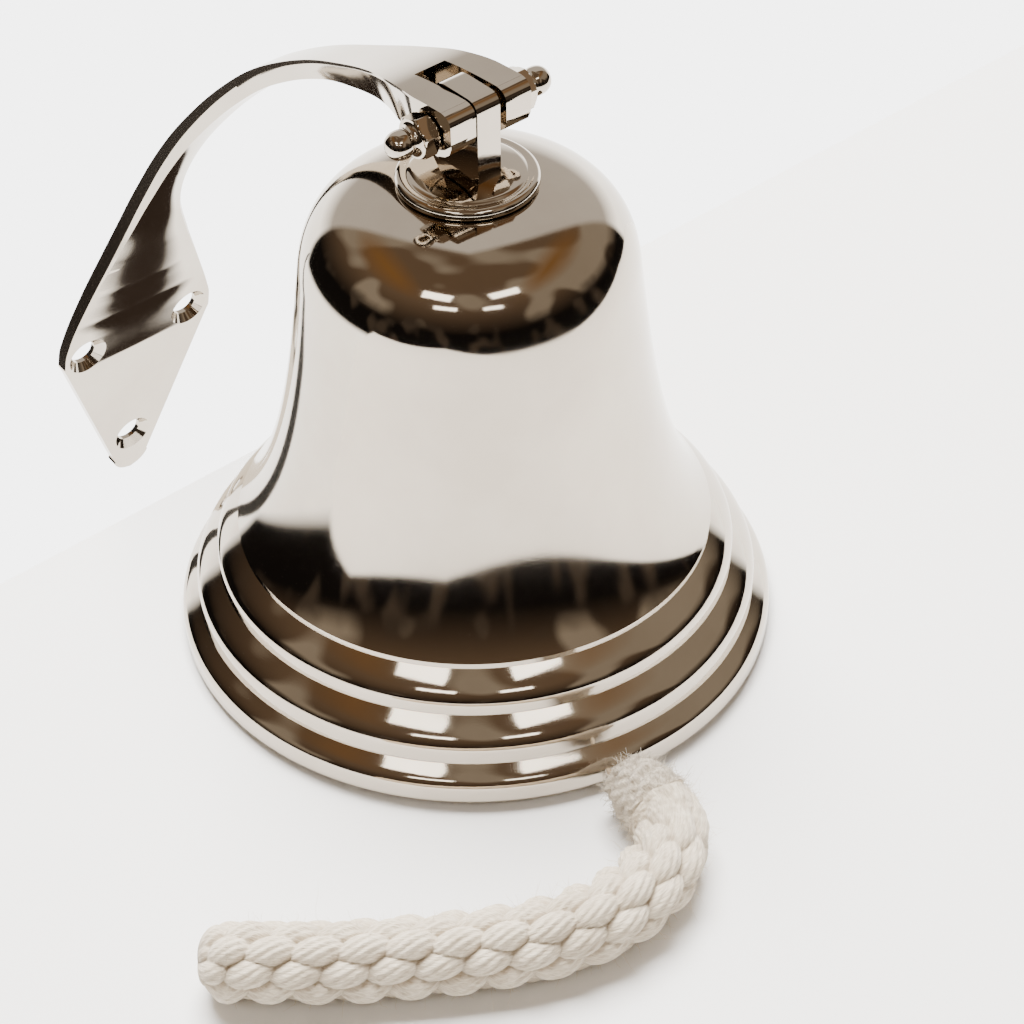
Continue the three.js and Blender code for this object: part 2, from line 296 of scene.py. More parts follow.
def startMaterial(name):
    material = bpy.data.materials.new(name)
    material.use_nodes = True
    tree = material.node_tree
    return material, tree, tree.nodes["Principled BSDF"]


def metal(name, values):
    material, tree, shader = startMaterial(name)
    where = tree.nodes.new("ShaderNodeTexCoord").outputs["Object"]
    group = tree.nodes.new("ShaderNodeGroup")
    group.node_tree = polish
    tree.links.new(where, group.inputs["Vector"])
    group.inputs["Gloss Low"].default_value = values["glossLow"]
    group.inputs["Gloss High"].default_value = values["glossHigh"]
    group.inputs["Tint A"].default_value = (*values["tintA"], 1)
    group.inputs["Tint B"].default_value = (*values["tintB"], 1)
    tree.links.new(group.outputs["Color"], shader.inputs["Base Color"])
    tree.links.new(group.outputs["Roughness"], shader.inputs["Roughness"])
    shader.inputs["Metallic"].default_value = 1
    bump = tree.nodes.new("ShaderNodeBump")
    bump.inputs["Strength"].default_value = 1
    bump.inputs["Distance"].default_value = values["relief"]
    tree.links.new(group.outputs["Height"], bump.inputs["Height"])
    tree.links.new(bump.outputs[0], shader.inputs["Normal"])
    return material


nickel = metal("polishedNickel", {"glossLow": 0.045, "glossHigh": 0.1, "relief": 0.0000035,
                                  "tintA": (0.5, 0.445, 0.375), "tintB": (0.45, 0.395, 0.33)})
brass = metal("turnedBrass", {"glossLow": 0.2, "glossHigh": 0.42, "relief": 0.00002,
                              "tintA": (0.72, 0.53, 0.24), "tintB": (0.5, 0.35, 0.15)})


def cottonGroup():
    # spun cotton: short threads run along the stitch with fuzz over them; soil lies in patches here and
    # there, and the same soil colour is painted into the pits as shade
    group, start, end = newGroup(
        "spunCotton", [("Threads", "NodeSocketVector", (0, 0, 0)),
                       ("Position", "NodeSocketVector", (0, 0, 0)),
                       ("Light", "NodeSocketColor", (0.8, 0.75, 0.7, 1)),
                       ("Shade", "NodeSocketColor", (0.5, 0.45, 0.4, 1)),
                       ("Soil", "NodeSocketColor", (0.3, 0.3, 0.2, 1)), ("Depth", "NodeSocketFloat", 0.0)],
        [("Color", "NodeSocketColor"), ("Height", "NodeSocketFloat")])
    strands = noiseNode(group, start.outputs["Threads"], 1, 3, 0.65)
    fuzz = noiseNode(group, start.outputs["Position"], 1900, 3, 0.7)
    soil = noiseNode(group, start.outputs["Position"], 90, 4, 0.6)
    colour = mixColour(group, spread(group, strands, 0.35, 0.65), start.outputs["Shade"],
                       start.outputs["Light"])
    colour = mixColour(group, spread(group, soil, 0.52, 0.8, 0, 0.6), colour, start.outputs["Soil"])
    # painted shade: the deeper a point lies in a pit, the more its colour goes to the soil colour
    pitShade = spread(group, start.outputs["Depth"], 0.3, 0.9, 0, 0.85)
    colour = mixColour(group, pitShade, colour, start.outputs["Soil"])
    height = mathNode(group, "ADD", mathNode(group, "MULTIPLY", strands, 0.75),
                      mathNode(group, "MULTIPLY", fuzz, 0.25))
    group.links.new(colour, end.inputs["Color"])
    group.links.new(height, end.inputs["Height"])
    return group


spunCotton = cottonGroup()


def cotton(name, values):
    material, tree, shader = startMaterial(name)
    follow = tree.nodes.new("ShaderNodeAttribute")
    follow.attribute_name = "threads"
    thread = tree.nodes.new("ShaderNodeMapping")
    tree.links.new(follow.outputs["Vector"], thread.inputs["Vector"])
    thread.inputs["Scale"].default_value = values["threads"]
    thread.inputs["Rotation"].default_value = (0, 0, values["slant"])
    group = tree.nodes.new("ShaderNodeGroup")
    group.node_tree = spunCotton
    tree.links.new(thread.outputs[0], group.inputs["Threads"])
    depth = tree.nodes.new("ShaderNodeSeparateXYZ")
    tree.links.new(follow.outputs["Vector"], depth.inputs[0])
    tree.links.new(depth.outputs["Z"], group.inputs["Depth"])
    tree.links.new(tree.nodes.new("ShaderNodeTexCoord").outputs["Object"], group.inputs["Position"])
    for label in ("Light", "Shade", "Soil"):
        group.inputs[label].default_value = (*values[label.lower()], 1)
    tree.links.new(group.outputs["Color"], shader.inputs["Base Color"])
    shader.inputs["Roughness"].default_value = 0.95
    shader.inputs["Sheen Weight"].default_value = 0.25
    shader.inputs["Sheen Roughness"].default_value = 0.6
    bump = tree.nodes.new("ShaderNodeBump")
    bump.inputs["Strength"].default_value = 0.9
    bump.inputs["Distance"].default_value = values["relief"]
    tree.links.new(group.outputs["Height"], bump.inputs["Height"])
    tree.links.new(bump.outputs[0], shader.inputs["Normal"])
    return material


# soil is the colour of the dirt patches and also of the painted shade in the pits
plait = cotton("plaitedCotton", {"threads": (0.5, 3.4, 1), "slant": 0.35, "relief": 0.0005,
                                 "light": (0.76, 0.675, 0.54), "shade": (0.5, 0.41, 0.3),
                                 "soil": (0.34, 0.27, 0.19)})
twine = cotton("whippingTwine", {"threads": (1.4, 3, 1), "slant": 0.5, "relief": 0.0005,
                                 "light": (0.64, 0.57, 0.46), "shade": (0.38, 0.32, 0.25),
                                 "soil": (0.3, 0.26, 0.2)})
print("materials ready")

# The surface under the lanyard: the lead cord under the lip holds one side of the mouth up
table = {"lift": 1.6, "backEdge": 72, "reach": 900, "front": 300, "left": 420, "thickness": 25}
leadWay = np.array([-0.25, -0.968])


def restHeight(x, y):
    return -table["lift"] * (0.5 + (x * leadWay[0] + y * leadWay[1]) / 127)


def onTable(route, radius):
    route = np.asarray(route, float)
    return np.column_stack([route, restHeight(route[:, 0], route[:, 1]) + radius])


# Lanyard and its lead cord
lanyard = {"radius": 8.0, "columns": 8, "pitch": 8.8, "valley": 3.5, "lean": 0.5, "oval": (5.2, 3.9),
           "matted": 17, "around": 208, "along": 440, "fluff": 2200}
lanyardRoute = [(-18.2, -77.3), (-18.9, -80.6), (-23.2, -86.4), (-31, -90.6), (-44, -92), (-56.7, -88.8),
                (-69, -82.2), (-81, -74.2), (-92, -66), (-101, -58.2), (-106.6, -53.4)]


def carried(route, steps):
    # centre points and two crosswise directions along a route, for tubes
    centre, length = alongCurve(route, steps)
    way = np.gradient(centre, axis=0)
    way /= np.linalg.norm(way, axis=1)[:, None]
    side = np.cross(way, [0, 0, 1.0])
    side /= np.linalg.norm(side, axis=1)[:, None]
    return centre, length, way, side, np.cross(side, way)


def capped(grid, first, last):
    # a tube's grid with its two ends drawn in to a point
    around = grid.shape[1]
    ends = [np.repeat(np.asarray(point, float).reshape(1, 1, 3), around, axis=1) for point in (first, last)]
    return np.concatenate([ends[0], grid, ends[1]])


def stitches(s, a, p):
    # height of the plait over its deepest pits: stitch middles lie in columns like bricks, each point
    # belongs to the nearest one, measured in a leaning oval, and the height falls off as a dome does
    wide = 2 * np.pi * p["radius"] / p["columns"]
    column, row = np.floor(a / (2 * np.pi) * p["columns"]), np.floor(s / p["pitch"])
    best, height = np.full(np.shape(s + a), 9.0), 0
    for k in (column - 1, column, column + 1):
        for n in (row - 1, row, row + 1):
            seed = np.sin(n * 12.9 + (k % p["columns"]) * 78.2)
            x = s - (n + 0.25 + 0.5 * (k % 2)) * p["pitch"] - 0.35 * seed
            y = a * p["radius"] - (k + 0.5) * wide - 0.25 * np.sin(seed * 40)
            long = x * np.cos(p["lean"]) + y * np.sin(p["lean"])
            short = y * np.cos(p["lean"]) - x * np.sin(p["lean"])
            far = np.hypot(long / p["oval"][0], short / p["oval"][1])
            dome = np.clip(1 - (far / 1.12) ** 2, 0, 1) ** 0.62 * (1 + 0.09 * seed)
            height = np.where(far < best, dome * (1 + 0.05 * np.cos(short * 4.4 + seed)), height)
            best = np.minimum(best, far)
    matted = np.clip((p["matted"] - s) / 11, 0, 1) * 0.62
    return height * (1 - matted) + matted * (0.72 + 0.09 * np.sin(a * 7 + s * 1.7) * np.sin(a * 3 - s * 0.9))


def makeThreads(name, starts, ways, lengths, radius, curl, material, seed, steps=7):
    # loose fibres: thin three-sided tubes that start at given points and bend at random as they go
    random = np.random.default_rng(seed)
    count = len(starts)
    bend = random.normal(0, curl, (count, 1, 3)) * np.linspace(0, 1, steps)[None, :, None] ** 1.6
    wave = random.normal(0, curl * 0.35, (count, 1, 3)) * np.sin(np.linspace(0, 5, steps))[None, :, None]
    t = np.linspace(0, 1, steps)[None, :, None]
    centre = starts[:, None] + (ways[:, None] * t + bend + wave) * lengths[:, None, None]
    centre[..., 2] = np.maximum(centre[..., 2], restHeight(centre[..., 0], centre[..., 1]) + radius)
    way = np.gradient(centre, axis=1)
    way /= np.linalg.norm(way, axis=2, keepdims=True) + 1e-9
    side = np.cross(way, [0.3, 0.2, 1.0])
    side /= np.linalg.norm(side, axis=2, keepdims=True) + 1e-9
    lift = np.cross(side, way)
    a = np.arange(3) * 2 * np.pi / 3
    thin = radius * np.linspace(1, 0.5, steps)[None, :, None, None]
    ring = centre[:, :, None] + thin * (np.cos(a)[None, None, :, None] * side[:, :, None]
                                        + np.sin(a)[None, None, :, None] * lift[:, :, None])
    quads = gridFaces(steps, 3, False, True)
    faces = (quads[None] + (np.arange(count) * steps * 3)[:, None, None]).reshape(-1, 4)
    ends = np.array([[2, 1, 0], [steps * 3 - 3, steps * 3 - 2, steps * 3 - 1]])
    ends = (ends[None] + (np.arange(count) * steps * 3)[:, None, None]).reshape(-1, 3)
    mesh = bpy.data.meshes.new(name)
    mesh.from_pydata(place(ring.reshape(-1, 3)).tolist(), [], faces.tolist() + ends.tolist())
    return showPiece(name, mesh, material, 180)


def makeLanyard(p):
    centre, length, way, side, lift = carried(onTable(lanyardRoute, p["radius"]), p["along"])
    a = np.linspace(0, 2 * np.pi, p["around"], endpoint=False)
    s = np.linspace(0, length, p["along"])
    sGrid, aGrid = np.meshgrid(s, a, indexing="ij")
    rise = stitches(sGrid, aGrid, p)
    radius = p["radius"] - p["valley"] + p["valley"] * rise
    radius *= np.clip(sGrid / 1.5, 0, 1) ** 0.5 * 0.25 + 0.75
    grid = (centre[:, None] + radius[..., None] * (np.cos(aGrid)[..., None] * side[:, None]
                                                   + np.sin(aGrid)[..., None] * lift[:, None]))
    # the third value is the depth in the pits, which the material turns into painted shade
    threads = np.stack([sGrid, aGrid * p["radius"], 1 - rise], axis=-1)
    threads = np.concatenate([threads[:1], threads, threads[-1:]])
    body = capped(grid, centre[0], centre[-1])
    piece = makePiece("lanyardPlait", [(body, False, True)], plait, 180, threads)
    random = np.random.default_rng(12)
    i = (4 + (p["along"] - 8) * random.uniform(0, 1, p["fluff"]) ** 2.6).astype(int)  # most of it by the bell
    j = random.integers(0, p["around"], p["fluff"])
    out = (grid[i, j] - centre[i]) / radius[i, j, None]
    ways = 0.35 * out + random.normal(0, 0.6, out.shape)
    lengths = random.uniform(0.8, 2.6, p["fluff"])
    fluff = makeThreads("lanyardFluff", grid[i, j] - 0.15 * out, ways, lengths, 0.035, 0.45, plait, 13, 5)
    return piece, fluff, centre, length


lanyardPiece, lanyardFluff, lanyardLine, lanyardLength = makeLanyard(lanyard)

whipping = {"from": (-16.9, -65.9), "to": (-18.3, -77.6), "thin": 5.2, "thick": 7.4, "fibres": 1400,
            "seed": 4}


def makeWhipping(p):
    # a barrel that widens from the lead cord to the lanyard, wound with rough turns of twine
    steps, around = 90, 96
    centre = onTable(np.linspace(p["from"], p["to"], steps), lanyard["radius"])
    way = (centre[-1] - centre[0]) / np.linalg.norm(centre[-1] - centre[0])
    side = np.cross(way, [0, 0, 1.0])
    lift = np.cross(side, way)
    a = np.linspace(0, 2 * np.pi, around, endpoint=False)
    t, aGrid = np.meshgrid(np.linspace(0, 1, steps), a, indexing="ij")
    size = p["thin"] + (p["thick"] - p["thin"]) * np.sin(np.clip(t * 1.3, 0, 1) * np.pi / 2)
    size = size * np.clip(t / 0.06, 0, 1) ** 0.5
    turns = np.abs(np.sin(t * np.pi * 3 + 2 * aGrid + 0.6 * np.sin(aGrid * 3 + 5 * t)))
    lumps = np.sin(aGrid * 5 + t * 9) * np.sin(t * 13 - aGrid * 2) + 0.4 * np.sin(aGrid * 13 - t * 31)
    radius = np.minimum(size - 1.3 + 1.0 * turns + 0.45 * lumps * np.clip(t / 0.1, 0, 1), p["thick"])
    grid = (centre[:, None] + radius[..., None] * (np.cos(aGrid)[..., None] * side
                                                   + np.sin(aGrid)[..., None] * lift))
    floor = restHeight(grid[..., 0], grid[..., 1]) + 0.1
    grid[..., 2] = np.maximum(grid[..., 2], floor)
    threads = np.stack([t * 12, aGrid * 7, 0 * t], axis=-1)
    threads = np.concatenate([threads[:1], threads, threads[-1:]])
    body = capped(grid, centre[0], centre[-1])
    piece = makePiece("whippingBarrel", [(body, False, True)], twine, 60, threads)
    random = np.random.default_rng(p["seed"])
    i, j = random.integers(3, steps, p["fibres"]), random.integers(0, around, p["fibres"])
    starts = grid[i, j]
    out = starts - centre[i]
    out /= np.linalg.norm(out, axis=1)[:, None]
    ways = out * random.uniform(-0.05, 0.35, (p["fibres"], 1)) + random.normal(0, 0.65, out.shape)
    lengths = random.uniform(0.5, 2.1, p["fibres"])
    fibres = makeThreads("whippingFibres", starts - 0.1 * out, ways, lengths, 0.07, 0.4, twine, p["seed"] + 1)
    return piece, fibres


whippingBarrel, whippingFibres = makeWhipping(whipping)

endKnot = {"reach": 6.6, "around": 120, "rings": 40}


def makeEndKnot(p):
    # a dome over the last round of the plait, with the same rows of stitches running in to its middle
    last, way = lanyardLine[-1], lanyardLine[-1] - lanyardLine[-3]
    way = way / np.linalg.norm(way)
    side = np.cross(way, [0, 0, 1.0])
    side /= np.linalg.norm(side)
    lift = np.cross(side, way)
    t, a = np.meshgrid(np.linspace(0, 1, p["rings"]), np.linspace(0, 2 * np.pi, p["around"], endpoint=False),
                       indexing="ij")
    along = p["reach"] * np.sin(t * np.pi / 2)
    rise = stitches(lanyardLength + along * 1.2 - 0.6, a, lanyard)
    radius = (lanyard["radius"] - lanyard["valley"] * (1 - rise)) * np.cos(t * np.pi / 2) ** 0.74
    grid = (last + (along - 0.6)[..., None] * way * (0.82 + 0.18 * rise[..., None])
            + radius[..., None] * (np.cos(a)[..., None] * side + np.sin(a)[..., None] * lift))
    back = np.repeat((last - 0.6 * way)[None, None], p["around"], axis=1)
    # the third value is the depth in the pits, which the material turns into painted shade
    threads = np.stack([along, a * lanyard["radius"], 1 - rise], axis=-1)
    threads = np.concatenate([threads[:1], threads])
    return makePiece("lanyardEnd", [(np.concatenate([back, grid]), False, True)], plait, 180, threads)


lanyardEnd = makeEndKnot(endKnot)

lead = {"radius": 0.6, "strands": 3, "lay": 4.2}
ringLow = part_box("lanyard_ring")[0]
leadTop = (ringLow[2] - mouthCentre[2]) * 1000 + 2 * 0.7 + lead["radius"] + 0.3  # over the ring's wire
leadRoute = ([(-2.4, 0, leadTop), (0, 0, leadTop), (2.2, -0.2, leadTop - 0.5), (3.9, -1.2, leadTop - 2.4),
              (4.4, -3.6, leadTop - 4.8)]
             + onTable([(3.6, -9), (0.5, -20), (-4.5, -32), (-9.5, -44), (-13.6, -55), (-15.4, -61.4)],
                       lead["radius"]).tolist()
             + onTable([(-16, -64.4)], 1.6).tolist() + onTable([(-16.7, -66.4)], 3.4).tolist())


def makeLead(p):
    # three yarns laid up as a rope: the tube's radius follows the outer edge of three turning circles
    steps, around = 300, 18
    centre, length, way, side, lift = carried(leadRoute, steps)
    s, a = np.meshgrid(np.linspace(0, length, steps), np.linspace(0, 2 * np.pi, around, endpoint=False),
                       indexing="ij")
    turn = (a - 2 * np.pi * s / p["lay"]) * p["strands"]
    radius = p["radius"] * (0.84 + 0.16 * np.abs(np.cos(turn / 2)))
    grid = centre[:, None] + radius[..., None] * (np.cos(a)[..., None] * side[:, None]
                                                  + np.sin(a)[..., None] * lift[:, None])
    piece = makePiece("leadCord", [(capped(grid, centre[0], centre[-1]), False, True)], plait, 180)
    return piece, centre, length


leadPiece, leadLine, leadLength = makeLead(lead)

knot = {"size": 0.32, "radius": 0.46, "at": -4.1}


def makeLeadKnot(p):
    # overhand knot: a trefoil path carried round with the cord's own radius
    t = np.linspace(0, 2 * np.pi, 90, endpoint=False)
    size = p["size"]
    path = np.column_stack([size * np.sin(3 * t), size * (np.sin(t) + 2 * np.sin(2 * t)),
                            size * (np.cos(t) - 2 * np.cos(2 * t))]) + [p["at"], 0, leadTop]
    way = np.roll(path, -1, 0) - np.roll(path, 1, 0)
    way /= np.linalg.norm(way, axis=1)[:, None]
    side = np.cross(way, [1.0, 0, 0])
    side /= np.linalg.norm(side, axis=1)[:, None]
    lift = np.cross(side, way)
    a = np.linspace(0, 2 * np.pi, 12, endpoint=False)[None, :, None]
    grid = path[:, None] + p["radius"] * (np.cos(a) * side[:, None] + np.sin(a) * lift[:, None])
    return makePiece("leadKnot", [(grid, True, True)], plait, 180)


leadKnot = makeLeadKnot(knot)
print("lanyard and lead cord:", round(lanyardLength, 1), round(leadLength, 1), "mm")

# Bell
bell = {
    "crown": 108.2,
    "feet": [(50.15, 25.1), (55.05, 16.9), (59.9, 8), (63.5, 1.0)],  # foot of each ring: radius, height
    "drops": [1.2, 2.2, 3.2, 2.6],  # upright part above each foot
    "segments": 288,
}


def bellProfile(p):
    feet, drops = p["feet"], p["drops"]
    shoulder = bezier((14.2, p["crown"]), (27.6, 106.1), (33.1, 99.8), (34.3, 89.4), 40)
    waist = bezier((34.3, 89.4), (36.8, 66.8), (39.7, 40.1), (feet[0][0], feet[0][1] + drops[0]), 60)[1:]
    parts = [[(2.6, p["crown"])], shoulder, waist, [(feet[0][0], feet[0][1] + 0.15)], [feet[0]]]
    for (r0, z0), (r1, z1), drop in zip(feet[:-1], feet[1:], drops[1:]):
        swell = (r0 + (r1 - r0) * 0.62, z0 - (z0 - z1 - drop) * 0.45)
        parts.append(bezier((r0, z0), swell, (r1, z1 + drop + 1.6), (r1, z1 + drop * 0.9), 18)[1:])
        parts.append([(r1, z1 + 0.15), (r1, z1)])
    parts.append(bezier((63.5, 1.0), (63.5, 0.4), (63.0, 0), (62.4, 0), 7)[1:])
    parts.append([(57, 0)])
    parts.append(bezier((57, 0), (54.5, 8), (50, 17), (46.4, 24), 14)[1:])
    parts.append(bezier((46.4, 24), (36.9, 42), (34.2, 66.8), (31.7, 89.4), 24)[1:])
    parts.append(bezier((31.7, 89.4), (30.6, 98.3), (25.6, 103.5), (13, 105.2), 16)[1:])
    parts.append([(2.6, 105.2), (2.6, p["crown"])])
    return np.concatenate([np.asarray(part, float) for part in parts])


bellPiece = makePiece("bellShell", [turned(bellProfile(bell), bell["segments"])], nickel, 24)
print("bell ready")

# Hanger
hanger = {"foot": 108.5, "front": -6.7, "back": 6.9, "top": 130, "half": 2.85, "pivot": 123.7}


def prism(outline, low, high):
    # outline in Y and Z carried across X from low to high, with closed ends
    outline = np.asarray(outline, float)
    middle = outline.mean(axis=0)
    rows = []
    for x, points in ((low, np.repeat(middle[None], len(outline), 0)), (low, outline), (high, outline),
                      (high, np.repeat(middle[None], len(outline), 0))):
        rows.append(np.column_stack([np.full(len(outline), x), points]))
    return np.stack(rows), False, True


def drum(radius, start, way, length, sides=64, top=None):
    # cylinder or cone from a start point along a direction, with closed ends
    start, way = np.asarray(start, float), np.asarray(way, float) / np.linalg.norm(way)
    side = np.cross(way, [0.31, 0.52, 0.79])
    side /= np.linalg.norm(side)
    lift = np.cross(way, side)
    a = np.linspace(0, 2 * np.pi, sides, endpoint=False)[:, None]
    rows = [start + r * (np.cos(a) * side + np.sin(a) * lift) + along * way
            for r, along in ((0, 0), (radius, 0), (radius if top is None else top, length), (0, length))]
    return np.stack(rows), False, True


def makeHanger(p):
    front, back, top, foot = p["front"], p["back"], p["top"], p["foot"]
    disc = np.concatenate([
        [(0, 112.6)], bezier((3, 112.5), (6, 112.2), (9, 111.6), (11.4, 110.9), 14),
        bezier((11.4, 110.9), (11.9, 110.5), (12.2, 110.45), (12.5, 110.6), 6)[1:],
        bezier((12.5, 110.6), (13.3, 110.9), (14.3, 110.4), (14.3, 109.4), 12)[1:],
        [(14.3, 108.9)], bezier((14.3, 108.9), (14.3, 108.6), (14.2, foot), (14, foot), 5)[1:], [(0, foot)]])
    piece = makePiece("hangerBody", [turned(disc, 144)], nickel, 30)
    rear = bezier((back, top - 4.5), (back, top - 1.8), (back - 1.6, top), (back - 4.4, top), 12)
    nose = bezier((front + 2.6, top), (front + 0.9, top - 0.1), (front + 0.1, top - 1.1),
                  (front, top - 2.6), 10)
    outline = np.concatenate([[(front, 110.8), (back, 110.8)], rear, nose])
    tongue = makePiece("tongueTool", [prism(outline, -p["half"], p["half"])], nickel)
    trim(piece, [tongue], "UNION")
    bore = makePiece("boreTool", [drum(2.8, (-9, 0, p["pivot"]), (1, 0, 0), 18)], nickel)
    socket = makePiece("socketTool", [drum(2.5, (0, 0, 107), (0, 0, 1), 4.8)], nickel)
    trim(piece, [bore, socket])
    softenEdges(piece, 0.3, 2, 40)
    return piece


hangerPiece = makeHanger(hanger)
print("hanger ready")

# Wall bracket. Each station has: place on the outer edge (y, z), thickness, half width,
# the share of the thickness that stands square, and how far the sloped part below it leans in.
bracket = {
    "aside": 0.6,
    "lean": math.radians(12.5),
    "plateBack": 130.4,
    "plateThickness": 2.9,
    "foot": -48.4,
    "slot": (3.8, 11.6),
    "stations": [
        (-6.7, 129.9, 10.8, 10.1, 0.03, 0.2), (3, 129.4, 10.4, 10.1, 0.05, 0.4),
        (11.9, 128.3, 9.6, 8.9, 0.07, 1.8), (23, 125.2, 7.7, 6.6, 0.09, 2.3),
        (33.3, 121.3, 6.1, 5.2, 0.12, 2.2), (45, 116.4, 4.9, 4.3, 0.17, 1.9),
        (57.1, 109.9, 4.6, 3.95, 0.24, 1.7), (66.3, 103.9, 4.6, 3.85, 0.32, 1.6),
        (77.5, 94.5, 4.6, 3.85, 0.4, 1.5), (89.4, 82.7, 4.6, 3.85, 0.48, 1.3),
        (100.6, 69.8, 4.6, 4.05, 0.57, 1.2), (109.6, 57, 4.5, 4.8, 0.66, 1.1),
        (116.5, 44.4, 4.3, 6.8, 0.75, 0.9), (121.6, 31.1, 3.9, 11.2, 0.86, 0.6),
        (125.9, 18, 3.3, 16.2, 0.96, 0.2),
    ],
    "screws": [(-15, -0.3), (15, -0.3), (0, -36.8)],
    "screw": 3.25,
    "sink": 5.0,
    "steps": 420,
    "crown": 1.5,
}


def plateHalf(z):
    # half the plate's width at a height: out to rounded corners, then straight in to a rounded tip
    upper = steady([-1.2, 2.2, 6.5, 18, 31], [21.3, 21.2, 20.2, 16.2, 11.2], np.clip(z, -1.2, 31))
    lower = 20.9 + (z + 2.6) * (20.9 - 4.9) / 41.4
    tip = np.sqrt(np.clip(5.4 ** 2 - (z + 42.8) ** 2, 0, None))
    below = np.where(z < -44.4, tip, lower)
    mixed = np.clip((z + 3.2) / 2.4, 0, 1)
    mixed = mixed * mixed * (3 - 2 * mixed)
    return mixed * upper + (1 - mixed) * below


def makeBracket(p):
    slope = math.tan(p["lean"])
    rows = np.array(p["stations"])
    heights = np.array([8, -2, -12, -24, -36, p["foot"]])
    plate = np.column_stack([p["plateBack"] - slope * heights, heights, np.full(6, p["plateThickness"]),
                             plateHalf(heights), np.ones(6), np.zeros(6)])
    rows = np.concatenate([rows, plate])
    knots = np.concatenate([[0], np.cumsum(np.linalg.norm(np.diff(rows[:, :2], axis=0), axis=1))])
    s = np.linspace(0, knots[-1], p["steps"])
    path = np.column_stack([np.zeros(len(rows)), rows[:, 0], rows[:, 1]])
    line, length = alongCurve(path, 2000)
    at = np.interp(s / knots[-1], np.linspace(0, 1, 2000), np.linspace(0, length, 2000))
    y = np.interp(at, np.linspace(0, length, 2000), line[:, 1])
    z = np.interp(at, np.linspace(0, length, 2000), line[:, 2])
    # the places of the stations by length along the smooth line
    order = [np.argmin((line[:, 1] - a) ** 2 + (line[:, 2] - b) ** 2) for a, b in rows[:, :2]]
    marks = np.linspace(0, length, 2000)[order]
    marks[0], marks[-1] = 0, length
    thick, half, share, inset = (steady(marks, rows[:, k], at) for k in (2, 3, 4, 5))
    half = np.where(z < 31, plateHalf(z), half)
    way = np.column_stack([np.gradient(y), np.gradient(z)])
    way /= np.linalg.norm(way, axis=1)[:, None]
    inward = np.column_stack([way[:, 1], -way[:, 0]])
    inward[y < 12] = [0, -1]
    blend = np.clip((y - 12) / 14, 0, 1)[:, None]
    inward = np.where(y[:, None] < 26, inward * blend + np.array([0, -1]) * (1 - blend), inward)
    inward /= np.linalg.norm(inward, axis=1)[:, None]
    outer = np.column_stack([y, z])
    knee = outer + inward * (thick * share)[:, None]
    inner = outer + inward * thick[:, None]
    corners = []
    across = np.linspace(-1, 1, 9)
    for side in across:
        corners.append((side * half, outer))
    for k in (0.5, 1):
        corners.append((half, outer + (knee - outer) * k))
    for k in (0.5, 1):
        corners.append((half - inset * k, knee + (inner - knee) * k))
    crown = np.minimum(0.1 * half, p["crown"]) * np.clip((90 - z) / 30, 0, 1) * np.clip((z + 4) / 16, 0, 1)
    for side in across[::-1][1:]:
        swell = (crown * (1 - side * side))[:, None]
        corners.append((side * (half - inset), inner + inward * swell))
    corners.append((-(half - inset * 0.5), knee + (inner - knee) * 0.5))
    corners.append((-half, knee))
    corners.append((-half, outer + (knee - outer) * 0.5))
    grid = np.stack([np.column_stack([x + p["aside"], yz]) for x, yz in corners], axis=1)
    grid = capped(grid, grid[0].mean(axis=0), grid[-1].mean(axis=0))
    piece = makePiece("bracketArm", [(grid, False, True)], nickel, 30)
    slotHalf, slotEnd = p["slot"]
    middle = p["aside"]
    slot = prism([(-30, 90), (slotEnd, 90), (slotEnd, 140), (-30, 140)], middle - slotHalf, middle + slotHalf)
    corner = prism([(-12, 115), (-2.2, 115), (-2.6, 119.3), (-4.6, 120.1), (-6, 121.2), (-6.7, 122.9),
                    (-6.7, 124), (-12, 124)], middle - 12, middle + 12)
    nose = bezier((-6.7, 127.4), (-6.5, 128.9), (-5.6, 129.6), (-4, 129.75), 9)
    brow = prism(np.concatenate([[(-12, 126.6), (-6.7, 126.6)], nose, [(-4, 134), (-12, 134)]]),
                 middle - 12, middle + 12)
    bore = drum(2.8, (-16, 0, hanger["pivot"]), (1, 0, 0), 32)
    cuts = (("slotTool", slot), ("browTool", brow), ("cornerTool", corner), ("boreTool", bore))
    tools = [makePiece(name, [grid], nickel) for name, grid in cuts]
    out = np.array([0, -math.cos(p["lean"]), -math.sin(p["lean"])])
    plateFace = p["plateBack"] - p["plateThickness"] / math.cos(p["lean"])
    for x, height in p["screws"]:
        face = np.array([x + middle, plateFace - slope * height, height])
        tools.append(makePiece("holeTool", [drum(p["screw"], face + 9 * out, -out, 18, 72)], nickel))
        sink = drum(p["screw"] - 0.9, face - 2.6 * out, out, 3.6, 72, p["sink"] + 1)
        tools.append(makePiece("sinkTool", [sink], nickel))
    trim(piece, tools, "DIFFERENCE", 28)
    softenEdges(piece, 0.28, 2, 32)
    return piece


bracketPiece = makeBracket(bracket)
print("bracket ready")

# Cap nuts on both ends of the pivot stud
capNut = {"seat": 10.4, "flats": 8.0, "height": 3.6, "tip": 20.0, "turn": 0.2}


